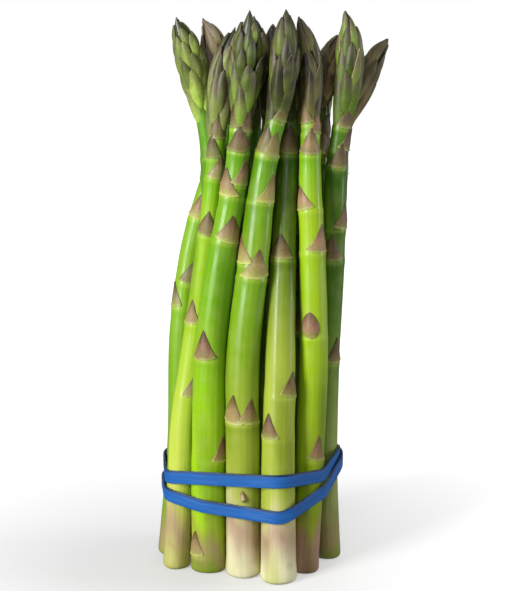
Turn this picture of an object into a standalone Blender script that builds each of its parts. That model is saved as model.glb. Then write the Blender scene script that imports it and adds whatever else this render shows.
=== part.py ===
"""A bundle of sixteen asparagus spears, tied near the foot by one doubled rubber band.

The bundle stands on its cut ends: +Z is up, the ends are at Z = 0, -Y is the side with the six thickest
spears, and +X is the side where the band crosses itself. Lengths are in millimetres until a mesh is made.
"""

import math
from collections import namedtuple
from itertools import groupby

import bpy
import numpy as np

MM = 0.001  # metres in a millimetre
ORIGIN_SHIFT = (-7.7, 1.7)  # moves the table below so that the bundle's box is centred on the origin
LEVEL_STEP = 4.0  # height between the levels where the spears are pressed together
TOP_LEVEL = 240.0
SPEAR_GAP = 0.3  # least air between two spears
BRACT_ROOM = 0.2  # room kept for the scale leaves that lie on a stem
SETTLE_ROUNDS = 500
GOLDEN_ANGLE = 137.5

STEM_SIDES = 8
STEM_HEIGHTS = (0.0, 0.04, 0.17, 0.33, 0.49, 0.63, 0.76, 0.88, 1.0)  # shares of foot to neck
CORE_HEIGHTS = (0.22, 0.44, 0.66, 0.86)  # shares of neck to tip
CORE_SHARE = 0.76  # radius of a head's core, as a share of the head's
ROOT_SHARE = 0.6  # where a scale's root lies, as a share of the head's radius
FOOT_FLARE = 0.05  # a cut end is this much wider than the stem above it
FLARE_HEIGHT = 9.0
HEAD_BELLY = 0.5  # share of the head's length where it is widest
HEAD_POINT = 2.4  # how full the head stays towards its tip
CORE_TIP = 0.97  # where a head's core ends, as a share of its length

BRACT_PROUD = 0.7  # ridge of a scale leaf above the stem
BRACT_EDGE = 0.2
BRACT_SUNK = 0.5
BRACT_LENGTH = 12.0
BRACT_WIDTH = 8.4
BRACT_ROWS = ((0.0, 0.5), (0.45, 0.31))  # share of its length, half-width as a share of its width
BRACT_GIRTH = 6.2  # radius of the stem on which a scale leaf has its full size
BRACT_SIZES = (0.72, 1.1)  # its least and most size
BRACT_SHARES = (0.35, 0.51, 0.65, 0.78, 0.90)  # heights of the leaves that follow the rule, of foot to neck
LEAF_TURN = 62.0  # most degrees that half a leaf wraps round
LEAF_REACH = 0.6
SPIRAL_START = 40.0  # degrees at which the first spear's spiral starts
SPIRAL_STEP = 77.0  # degrees from one spear's start to the next one's

HEAD_SCALES = 12
SCALE_FIRST = -0.10  # root of the lowest scale, as a share of neck to tip
SCALE_CLIMB = 0.80  # the highest root's share above that
SCALE_CROWD = 0.85
SCALE_LENGTHS = (0.42, 0.26)  # lowest and highest scale, of the head's length
SCALE_WIDTHS = (0.74, 0.44)  # lowest and highest scale, of the head's diameter
SCALE_ROWS = ((0.28, 0.42), (0.62, 0.44))
SCALE_CLEAR = 1.0  # least distance of a row from the tip
SCALE_BELLY = 1.1  # ridge, edges and inside of a head's scale, as shares of the head's radius
SCALE_EDGE = 0.84
SCALE_KEEL = 0.4
SCALE_TIP = 0.35  # its point above the head's surface

BAND_WIDTH = 5.5
BAND_THICKNESS = 0.9
BAND_GAP = 0.3  # air between the band and what it presses on
BAND_STEP = 2.8  # most distance between two stations where the band bends round a spear
BAND_SPAN = 12.0  # most distance between them on a straight run
BEARING_STEP = 2.0  # degrees between the bearings at which the band is traced
BAND_START = 84.0  # both turns start at the back, between two spears
BAND_MIDDLE = 37.0  # height from which the tracing starts
BAND_ROUNDS = 3

GREEN = (0.26, 0.45, 0.06, 1.0)
BLUE = (0.03, 0.14, 0.62, 1.0)

# route: the stem's axis at chosen heights, (x, y, z). foot, neck, head: diameters. taper: how late the stem
# thins. neck_z: where the head starts. firm: 1 holds its place in the press, 0 gives way. bracts: (height,
# degrees from the front, turning right) of the scale leaves that were placed; None spaces them by rule.
Spear = namedtuple("Spear", "name route foot neck head taper neck_z firm bracts")
SPEARS = (
    Spear("spear_01", ((-30.5, -10.6, 0), (-28.9, -8, 35), (-28, -6.5, 57), (-23.5, -4, 89), (-20.2, -3.3, 113),
                       (-17.2, -3.3, 137), (-13.9, -3, 167), (-12, -3, 190), (-10.3, -3, 206), (-5.1, -2, 223)),
          11.0, 7.0, 9.6, 1.5, 180, 0.9,
          ((73, 30), (103, -38), (140, -10), (163, 40), (171, -32), (179, 5))),
    Spear("spear_02", ((-16.8, -13.2, 0), (-16.8, -13, 50), (-15.6, -13, 95), (-10.5, -12, 136), (-5.6, -11, 165),
                       (-3.4, -11, 185), (-1.3, -11, 207), (0.1, -11, 230)),
          14.0, 7.9, 11.8, 2.4, 187, 1.0,
          ((7, -60), (48, 60), (91, -28), (139, 28), (157, -55), (162, 52), (175, 0), (183, 62), (184, -62))),
    Spear("spear_03", ((-2.9, -18.2, 0), (-2.9, -18, 45), (-2.6, -17, 95), (2.3, -14, 136), (7, -11, 172),
                       (11.7, -10, 190), (14.4, -9.5, 211), (15, -9.5, 230)),
          14.1, 7.4, 11.0, 3.7, 187, 1.0,
          ((66, -66), (66, 62), (125, 15), (130, -80), (155, 52), (173, 20), (174, -50), (187, 62))),
    Spear("spear_04", ((11.6, -22.9, 0), (11.4, -22, 46), (12.4, -17, 96), (13.8, -8, 140), (15.2, -2, 171),
                       (15.6, 3, 192), (15.5, 4.5, 208), (15.3, 4.5, 222)),
          14.6, 7.6, 9.0, 1.5, 187, 0.9,
          ((60, -45), (77, 50), (131, -18), (172, 0))),
    Spear("spear_05", ((22.1, -15, 0), (24.2, -14, 44), (25.8, -13, 95), (24.8, -10, 136), (23.6, -8, 166),
                       (23.4, -6, 191), (23.2, -5, 208), (21.3, -5, 218), (18.3, -5, 227)),
          11.8, 7.0, 8.8, 3.5, 187, 1.0,
          ((49, 30), (100, -20), (134, 48), (151, -62), (173, 0), (181, 64), (185, -55))),
    Spear("spear_06", ((32.8, 0.8, 0), (31.2, 1, 38), (31.4, 1, 80), (33.8, 0, 133), (35.5, 0, 174), (37.6, 0, 188),
                       (39.3, 0, 202), (39.8, 0, 214), (39.3, 0, 223), (37.8, 0, 229)),
          10.8, 7.5, 10.4, 3.5, 185, 1.0,
          ((86, 42), (129, -20), (142, 72), (167, 25), (174, 74), (183, 35))),
    Spear("spear_07", ((-33.2, 5, 0), (-28.7, 6, 50), (-27.6, 8, 100), (-23.4, 11, 132), (-15.2, 13.5, 161),
                       (-10, 9.5, 175), (-4, 6, 189), (2.8, 5, 211), (2.0, 4, 227)),
          11.0, 7.4, 10.6, 2.0, 187, 0.5,
          ((107, -62), (117, 25), (143, -15))),
    Spear("spear_08", ((-21, 0.5, 0), (-20, 2, 45), (-17.4, 7, 100), (-15, 5, 150), (-15, 4.5, 173), (-16.6, 4.5, 184),
                       (-18.8, 4.5, 193), (-22.2, 4.5, 208), (-25, 4, 217), (-28.3, 3, 226.5)),
          10.6, 6.4, 11.2, 2.0, 189, 0.5, None),
    Spear("spear_09", ((-7, -4, 0), (-7.2, -3, 45), (-7, 1, 100), (-6.6, 10, 140), (-7, 17.5, 163),
                       (-8.3, 17.5, 175), (-11, 14.5, 188), (-14.4, 13, 208), (-16.6, 13, 219), (-20.2, 13, 225.5)),
          10.8, 6.6, 11.8, 2.0, 186, 0.4, None),
    Spear("spear_10", ((8.5, -8, 0), (8, -6, 45), (7.5, 0, 100), (7.8, 9, 150), (8.2, 14, 185), (9.1, 14.5, 207),
                       (8.9, 13.5, 223)),
          11.0, 6.8, 9.8, 2.0, 184, 0.4, None),
    Spear("spear_11", ((20.5, 0.5, 0), (21, 1, 45), (24.2, 4, 100), (28.4, 7.5, 140), (29.2, 8.5, 165),
                       (29.2, 9.3, 182), (29.6, 9.5, 193), (31.4, 9.5, 206), (35.8, 9.5, 219)),
          10.4, 6.0, 10.2, 2.0, 190, 0.5, None),
    Spear("spear_12", ((28, 11.5, 0), (28, 11.5, 45), (31, 11.5, 100), (35.4, 11, 150), (37.4, 10, 181),
                       (39.8, 9, 189), (46.6, 9, 204), (50.4, 9, 211), (55.4, 9, 217.5)),
          10.6, 6.2, 10.2, 2.0, 180, 0.3, None),
    Spear("spear_13", ((-24, 13.5, 0), (-22.5, 14.5, 45), (-19.5, 18.5, 100), (-17.5, 21.5, 150), (-16.8, 22, 175),
                       (-16.5, 22.5, 190), (-16.5, 22, 203)),
          10.6, 6.4, 9.8, 2.0, 177, 0.2, None),
    Spear("spear_14", ((-11, 11, 0), (-9.5, 12, 45), (-6, 15, 100), (0, 20, 150), (2, 20, 185), (1, 19, 205),
                       (-0.5, 18, 219)),
          11.2, 6.6, 10.2, 2.0, 182, 0.2, None),
    Spear("spear_15", ((2, 7.5, 0), (3, 8.5, 45), (9, 11, 90), (16.8, 13, 120), (18.8, 14, 150), (18.8, 14, 185),
                       (19.5, 14, 203), (19, 13.5, 216)),
          11.0, 6.4, 9.8, 2.0, 178, 0.2, None),
    Spear("spear_16", ((15, 12.5, 0), (16.5, 13, 45), (21.5, 17, 100), (26, 19, 150), (26.5, 19.2, 182),
                       (25.5, 19, 201), (25, 18.5, 212)),
          10.8, 6.4, 9.8, 2.0, 176, 0.2, None),
)

# Height of the band's middle over each spear, on its first time round and on its second.
FIRST_TURN = {"spear_13": 45.0, "spear_07": 42.0, "spear_01": 39.4, "spear_02": 41.8, "spear_03": 42.9,
              "spear_04": 44.2, "spear_05": 42.4, "spear_06": 46.6, "spear_12": 39.6}
SECOND_TURN = {"spear_13": 35.0, "spear_07": 32.4, "spear_01": 32.2, "spear_02": 30.0, "spear_03": 28.8,
               "spear_04": 29.0, "spear_05": 35.6, "spear_06": 43.6, "spear_12": 46.0}
CROSSING = (298.0, 322.0, 420.0, 443.0)  # degrees where the second turn rides out over the first, and back in


def smooth(at, knots, values):
    """Cubic curve through values at knots, read at the places 'at'. A knot's slope is its neighbours' chord."""
    knots = np.asarray(knots, float)
    values = np.asarray(values, float)
    slopes = np.gradient(values, knots, axis=0)
    at = np.clip(at, knots[0], knots[-1])
    i = np.clip(np.searchsorted(knots, at, side="right") - 1, 0, len(knots) - 2)
    span = knots[i + 1] - knots[i]
    t = (at - knots[i]) / span
    shape = (1,) * (values.ndim - 1)
    t = t.reshape(t.shape + shape)
    span = span.reshape(span.shape + shape)
    return (
        values[i] * (1 + 2 * t) * (1 - t) ** 2
        + values[i + 1] * t**2 * (3 - 2 * t)
        + slopes[i] * span * t * (1 - t) ** 2
        + slopes[i + 1] * span * t**2 * (t - 1)
    )


def ease(low, high, x):
    """0 below low, 1 above high, and a smooth step between."""
    t = np.clip((x - low) / (high - low), 0.0, 1.0)
    return t * t * (3 - 2 * t)


def tip_z(spear):
    return spear.route[-1][2]


def radius(spear, z):
    """Outer radius at height z: a flared foot, a stem that thins late, and a head that swells to a point."""
    z = np.asarray(z, float)
    flare = 1 + FOOT_FLARE * (1 - ease(0.0, FLARE_HEIGHT, z))
    share = np.clip(z / spear.neck_z, 0, 1)
    stem = (spear.foot - (spear.foot - spear.neck) * share**spear.taper) / 2 * flare
    u = np.clip((z - spear.neck_z) / (tip_z(spear) - spear.neck_z), 0, 1)
    swell = spear.neck / 2 + (spear.head - spear.neck) / 2 * ease(0.0, HEAD_BELLY, u)
    fall = np.clip((u - HEAD_BELLY) / (1 - HEAD_BELLY), 0, 1) ** HEAD_POINT
    return np.where(z < spear.neck_z, stem, swell * (1 - fall))


def settle():
    """Presses the spears together: at each level, those that overlap push each other apart, the less firm one
    further, and each spear's moves are smoothed along its length. Returns the levels and the (x, y) at them."""
    levels = np.arange(0.0, TOP_LEVEL + LEVEL_STEP, LEVEL_STEP)
    axes = []
    reach = []
    for spear in SPEARS:
        route = np.array(spear.route, float)
        axes.append(smooth(levels, route[:, 2], route[:, :2]))
        lean = np.linalg.norm(np.gradient(axes[-1], levels, axis=0), axis=-1)
        r = radius(spear, levels) * np.where(levels < spear.neck_z, 1.0, SCALE_BELLY) * np.hypot(1, lean)
        r = r + BRACT_ROOM
        reach.append(np.where(levels <= tip_z(spear), r, -TOP_LEVEL))
    start = np.array(axes)
    reach = np.array(reach)
    yielding = 1.05 - np.array([spear.firm for spear in SPEARS])
    share = yielding[:, None] / (yielding[:, None] + yielding[None, :])
    moves = np.zeros_like(start)
    for _ in range(SETTLE_ROUNDS):
        place = start + moves
        apart = place[:, None] - place[None, :]
        distance = np.linalg.norm(apart, axis=-1) + 1e-6
        short = reach[:, None] + reach[None, :] + SPEAR_GAP - distance
        short = np.maximum(short, 0)
        short[np.arange(len(SPEARS)), np.arange(len(SPEARS))] = 0
        push = apart / distance[..., None] * (short * share[..., None])[..., None]
        moves = moves + 0.5 * push.sum(axis=1)
        padded = np.concatenate([moves[:, :1], moves, moves[:, -1:]], axis=1)
        moves = 0.25 * padded[:, :-2] + 0.5 * padded[:, 1:-1] + 0.25 * padded[:, 2:]
    return levels, start + moves + np.array(ORIGIN_SHIFT)


class Axis:
    """A settled spear: its centre line, the frame round it, and points on or off its surface."""

    def __init__(self, spear, levels, places):
        self.spear = spear
        self.levels = levels
        self.places = places

    def centre(self, z):
        z = np.asarray(z, float)
        xy = smooth(z, self.levels, self.places)
        return np.concatenate([xy, z[..., None]], axis=-1)

    def frame(self, z):
        """Two unit vectors across the spear at height z: one towards +X, one towards +Y."""
        along = self.centre(np.asarray(z) + 1.0) - self.centre(np.asarray(z) - 1.0)
        along /= np.linalg.norm(along, axis=-1, keepdims=True)
        across = np.array([1.0, 0, 0]) - along * along[..., :1]
        across /= np.linalg.norm(across, axis=-1, keepdims=True)
        return across, np.cross(along, across)

    def point(self, z, angle, distance):
        """The point at this distance from the axis, at an angle in radians anticlockwise from +X."""
        z, angle, distance = np.broadcast_arrays(np.asarray(z, float), angle, distance)
        across, back = self.frame(z)
        return (
            self.centre(z)
            + (np.cos(angle) * distance)[..., None] * across
            + (np.sin(angle) * distance)[..., None] * back
        )


def loft(name, rows, first=None, last=None):
    """A closed mesh through rows of points. Each end comes to the point given for it, or is capped flat."""
    count = rows.shape[1]
    points = [tuple(p) for p in rows.reshape(-1, 3) * MM]
    faces = []
    for row in range(len(rows) - 1):
        for i in range(count):
            j = (i + 1) % count
            a = row * count
            faces.append((a + i, a + j, a + count + j, a + count + i))
    end = (len(rows) - 1) * count
    for pole, ring in ((first, list(range(count))[::-1]), (last, list(range(end, end + count)))):
        if pole is None:
            faces.append(tuple(ring))
            continue
        points.append(tuple(np.asarray(pole) * MM))
        for i in range(count):
            faces.append((ring[i], ring[(i + 1) % count], len(points) - 1))
    mesh = bpy.data.meshes.new(name)
    mesh.from_pydata(points, [], faces)
    return bpy.data.objects.new(name, mesh)


def stem_body(axis):
    """The stem with its flared, flat foot, and the slimmer core of the head, as one loft of round rings."""
    spear = axis.spear
    stem = np.array(STEM_HEIGHTS) * spear.neck_z
    head_length = tip_z(spear) - spear.neck_z
    core = spear.neck_z + np.array(CORE_HEIGHTS) * head_length
    z = np.concatenate([stem, core])
    in_head = np.concatenate([np.ones(len(stem)), np.full(len(core), CORE_SHARE)])
    angle = np.arange(STEM_SIDES) * 2 * math.pi / STEM_SIDES
    rings = axis.point(z[:, None], angle[None, :], (radius(spear, z) * in_head)[:, None])
    rings[0, :, 2] = 0.0
    peak = axis.centre(spear.neck_z + CORE_TIP * head_length)
    return loft(spear.name, rings, last=peak)


def section(axis, z, angle, half_width, ridge, edge, keel):
    """One row of a scale leaf: left edge, ridge, right edge and the keel inside, as distances from the axis."""
    turn = min(half_width / max(edge, LEAF_REACH), math.radians(LEAF_TURN))
    angles = angle + np.array([-turn, 0.0, turn, 0.0])
    return axis.point(z, angles, np.array([edge, ridge, edge, keel]))


def stem_bract(axis, z, angle, length, width):
    """A triangular scale leaf lying on the stem: a wide base that stands proud, narrowing to a point above."""
    rows = []
    for share, half in BRACT_ROWS:
        height = z + share * length
        r = float(radius(axis.spear, height))
        turn = half * width / r
        rows.append(section(axis, height, angle, half * width, r + BRACT_PROUD, r + BRACT_EDGE,
                            r * math.cos(turn) - BRACT_SUNK))
    top = z + length
    tip = axis.point(top, angle, float(radius(axis.spear, top)) + BRACT_EDGE)
    return loft("bract", np.array(rows), last=tip)


def head_scale(axis, root, angle, length, width):
    """An almond scale of the head: it leaves the core at a point, bellies out, and points up along the head."""
    spear = axis.spear
    rows = []
    for share, half in SCALE_ROWS:
        height = min(root + share * length, tip_z(spear) - SCALE_CLEAR)
        r = float(radius(spear, height))
        rows.append(section(axis, height, angle, half * width, r * SCALE_BELLY, r * SCALE_EDGE, r * SCALE_KEEL))
    low = axis.point(root, angle, float(radius(spear, root)) * ROOT_SHARE)
    top = min(root + length, tip_z(spear))
    high = axis.point(top, angle, float(radius(spear, top)) + SCALE_TIP)
    return loft("scale", np.array(rows), first=low, last=high)


def bract_places(spear, start):
    """Heights and angles of the scale leaves on a stem: as placed, or a spiral that closes up at the head."""
    if spear.bracts is not None:
        return [(z, math.radians(turn - 90)) for z, turn in spear.bracts]
    turns = start + GOLDEN_ANGLE * np.arange(len(BRACT_SHARES))
    return [(share * spear.neck_z, math.radians(turn)) for share, turn in zip(BRACT_SHARES, turns)]


def stem_bracts(axis, start):
    for z, angle in bract_places(axis.spear, start):
        size = float(np.clip(radius(axis.spear, z) / BRACT_GIRTH, *BRACT_SIZES))
        yield stem_bract(axis, z, angle, BRACT_LENGTH * (0.6 + 0.4 * size), BRACT_WIDTH * size)


def head_scales(axis, start):
    """A spiral of scales up the head, a golden angle apart, smaller and closer together at the tip."""
    spear = axis.spear
    head_length = tip_z(spear) - spear.neck_z
    for i in range(HEAD_SCALES):
        share = i / (HEAD_SCALES - 1)
        root = spear.neck_z + head_length * (SCALE_FIRST + SCALE_CLIMB * share**SCALE_CROWD)
        length = head_length * np.interp(share, (0, 1), SCALE_LENGTHS)
        width = spear.head * np.interp(share, (0, 1), SCALE_WIDTHS)
        yield head_scale(axis, root, math.radians(start + i * GOLDEN_ANGLE), length, width)


def fuse(body, pieces):
    """Joins the pieces to the body with one Boolean union, applied, and removes them."""
    bunch = bpy.data.collections.new("pieces")
    for piece in pieces:
        bunch.objects.link(piece)
    union = body.modifiers.new("fuse", "BOOLEAN")
    union.operation = "UNION"
    union.operand_type = "COLLECTION"
    union.collection = bunch
    union.solver = "EXACT"
    graph = bpy.context.evaluated_depsgraph_get()
    joined = bpy.data.meshes.new_from_object(body.evaluated_get(graph))
    body.modifiers.clear()
    body.data = joined
    for piece in list(bunch.objects):
        bpy.data.objects.remove(piece)
    bpy.data.collections.remove(bunch)


def furthest_out(axes, out, z):
    """Which spear stands out furthest in the direction out, over the band's width, and where they touch."""
    best, name = None, None
    for axis in axes:
        for height in (z - BAND_WIDTH / 2, z, z + BAND_WIDTH / 2):
            reach = float(radius(axis.spear, height)) + BAND_GAP + BAND_THICKNESS / 2
            touch = axis.centre(height)[:2] + reach * out
            if best is None or touch @ out > best @ out:
                best, name = touch, axis.spear.name
    return best, name


def band_touches(axes, heights):
    """The band's place at each bearing of its two turns, and the spear that it presses on there."""
    bearings = np.arange(BAND_START, BAND_START + 360.0, BEARING_STEP)
    touches = []
    for degrees, z in zip(np.tile(bearings, 2), heights):
        out = np.array([math.cos(math.radians(degrees)), math.sin(math.radians(degrees))])
        place, name = furthest_out(axes, out, z)
        second = len(touches) >= len(bearings)
        start, full, hold, end = CROSSING
        over = ease(start, full, degrees) * (1 - ease(hold, end, degrees)) * second
        place = place + out * float(over) * (BAND_THICKNESS + BAND_GAP)
        touches.append((name, second, np.array([*place, z])))
    return touches


def band_heights(touches):
    """The band's height at each touch: the tables' heights at the middle of each spear's share of it, and
    between those in step with the length run, as a stretched band lies."""
    places = np.array([place for _, _, place in touches])
    steps = np.linalg.norm(np.diff(places[:, :2], axis=0, append=places[:1, :2]), axis=1)
    run = np.concatenate([[0], np.cumsum(steps)])
    knots = []
    for (name, second), bend in groupby(enumerate(touches), key=lambda item: item[1][:2]):
        table = SECOND_TURN if second else FIRST_TURN
        middle = np.mean([run[i] for i, _ in bend])
        if name in table:
            knots.append((middle, table[name]))
    knots = np.array(knots)
    return np.interp(run[:-1], knots[:, 0], knots[:, 1], period=run[-1])


def band_line(axes):
    """The band's middle line, twice round: it bends over spears that stand out and runs straight between them."""
    heights = np.full(2 * int(360 / BEARING_STEP), BAND_MIDDLE)
    for _ in range(BAND_ROUNDS):
        touches = band_touches(axes, heights)
        heights = band_heights(touches)
    for touch, height in zip(touches, heights):
        touch[2][2] = height
    stations = []
    for _, bend in groupby(touches, key=lambda touch: touch[:2]):
        bend = [place for _, _, place in bend]
        length = np.linalg.norm(bend[-1] - bend[0])
        picks = np.linspace(0, len(bend) - 1, max(1, math.ceil(length / BAND_STEP)) + 1)
        stations.extend(bend[i] for i in sorted(set(picks.round().astype(int))))
    line = []
    for here, there in zip(stations, stations[1:] + stations[:1]):
        parts = max(1, math.ceil(np.linalg.norm(there - here) / BAND_SPAN))
        line.extend(here + (there - here) * i / parts for i in range(parts))
    return np.array(line)


def rubber_band(axes):
    """One closed ribbon, wound twice round the bundle, on edge, given its thickness by Solidify."""
    line = band_line(axes)
    count = len(line)
    half = np.array([0, 0, BAND_WIDTH / 2])
    points = np.concatenate([line - half, line + half]) * MM
    faces = [(i, (i + 1) % count, count + (i + 1) % count, count + i) for i in range(count)]
    mesh = bpy.data.meshes.new("rubber_band")
    mesh.from_pydata([tuple(p) for p in points], [], faces)
    band = bpy.data.objects.new("rubber_band", mesh)
    solid = band.modifiers.new("thickness", "SOLIDIFY")
    solid.thickness = BAND_THICKNESS * MM
    solid.offset = 0.0
    return band


def material(name, colour, roughness):
    made = bpy.data.materials.new(name)
    made.use_nodes = True
    shader = made.node_tree.nodes["Principled BSDF"]
    shader.inputs["Base Color"].default_value = colour
    shader.inputs["Roughness"].default_value = roughness
    shader.inputs["Metallic"].default_value = 0.0
    return made


def build():
    for obj in list(bpy.data.objects):
        bpy.data.objects.remove(obj)
    bundle = bpy.data.collections.new("asparagus_bundle")
    bpy.context.scene.collection.children.link(bundle)
    levels, places = settle()
    axes = [Axis(spear, levels, place) for spear, place in zip(SPEARS, places)]
    green = material("asparagus_green", GREEN, 0.35)
    for number, axis in enumerate(axes):
        start = SPIRAL_START + SPIRAL_STEP * number
        body = stem_body(axis)
        bundle.objects.link(body)
        fuse(body, [*stem_bracts(axis, start), *head_scales(axis, start)])
        body.data.materials.clear()
        body.data.materials.append(green)
    band = rubber_band(axes)
    bundle.objects.link(band)
    band.data.materials.append(material("blue_rubber", BLUE, 0.5))


build()
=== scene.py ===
"""Looks for a bundle of asparagus: sixteen spears with their scale leaves and heads, and the rubber band.

Lengths are in millimetres until a mesh is made. Each new spear follows the route of the solid it replaces.
"""

import math
from collections import namedtuple
from itertools import groupby

import bpy
import numpy as np
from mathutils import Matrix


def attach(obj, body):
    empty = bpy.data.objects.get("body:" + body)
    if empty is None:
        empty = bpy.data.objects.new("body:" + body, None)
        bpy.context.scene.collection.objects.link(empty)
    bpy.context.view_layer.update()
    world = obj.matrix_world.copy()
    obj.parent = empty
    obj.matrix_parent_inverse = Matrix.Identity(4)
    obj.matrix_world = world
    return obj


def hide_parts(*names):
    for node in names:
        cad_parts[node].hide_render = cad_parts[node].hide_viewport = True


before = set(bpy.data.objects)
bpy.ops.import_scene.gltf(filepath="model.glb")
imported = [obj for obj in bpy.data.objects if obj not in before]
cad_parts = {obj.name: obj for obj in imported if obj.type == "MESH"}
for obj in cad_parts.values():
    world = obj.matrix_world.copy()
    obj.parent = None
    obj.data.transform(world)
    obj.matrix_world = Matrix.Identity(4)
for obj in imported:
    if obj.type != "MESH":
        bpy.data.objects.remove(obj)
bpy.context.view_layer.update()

MM = 0.001  # metres in a millimetre
ORIGIN_SHIFT = (-7.7, 1.7)  # moves the table below so that the bundle's box is centred on the origin
LEVEL_STEP = 4.0  # height between the levels where the spears are pressed together
TOP_LEVEL = 240.0
SPEAR_GAP = 0.3  # least air between two spears
BRACT_ROOM = 0.2  # room kept for the scale leaves that lie on a stem
SETTLE_ROUNDS = 500
GOLDEN_ANGLE = 137.5
FOOT_FLARE = 0.05
FLARE_HEIGHT = 9.0
HEAD_BELLY = 0.5
HEAD_POINT = 2.4
SCALE_BELLY = 1.1
BRACT_SHARES = (0.35, 0.51, 0.65, 0.78, 0.90)
SPIRAL_START = 40.0
SPIRAL_STEP = 77.0

BAND_WIDTH = 5.5
BAND_THICKNESS = 0.9
BAND_GAP = 0.3
BEARING_STEP = 2.0
BAND_START = 84.0  # both turns start at the back, between two spears
BAND_MIDDLE = 37.0  # height from which the tracing starts
BAND_ROUNDS = 3

SENSOR = 36.0
PICTURE_HEIGHT = 591
FOCAL_PIXELS = 1628.0
CAMERA = (3.9, -650.0, 265.0)  # millimetres, before the origin's shift
CAMERA_PITCH = 13.1  # degrees below level

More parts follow.
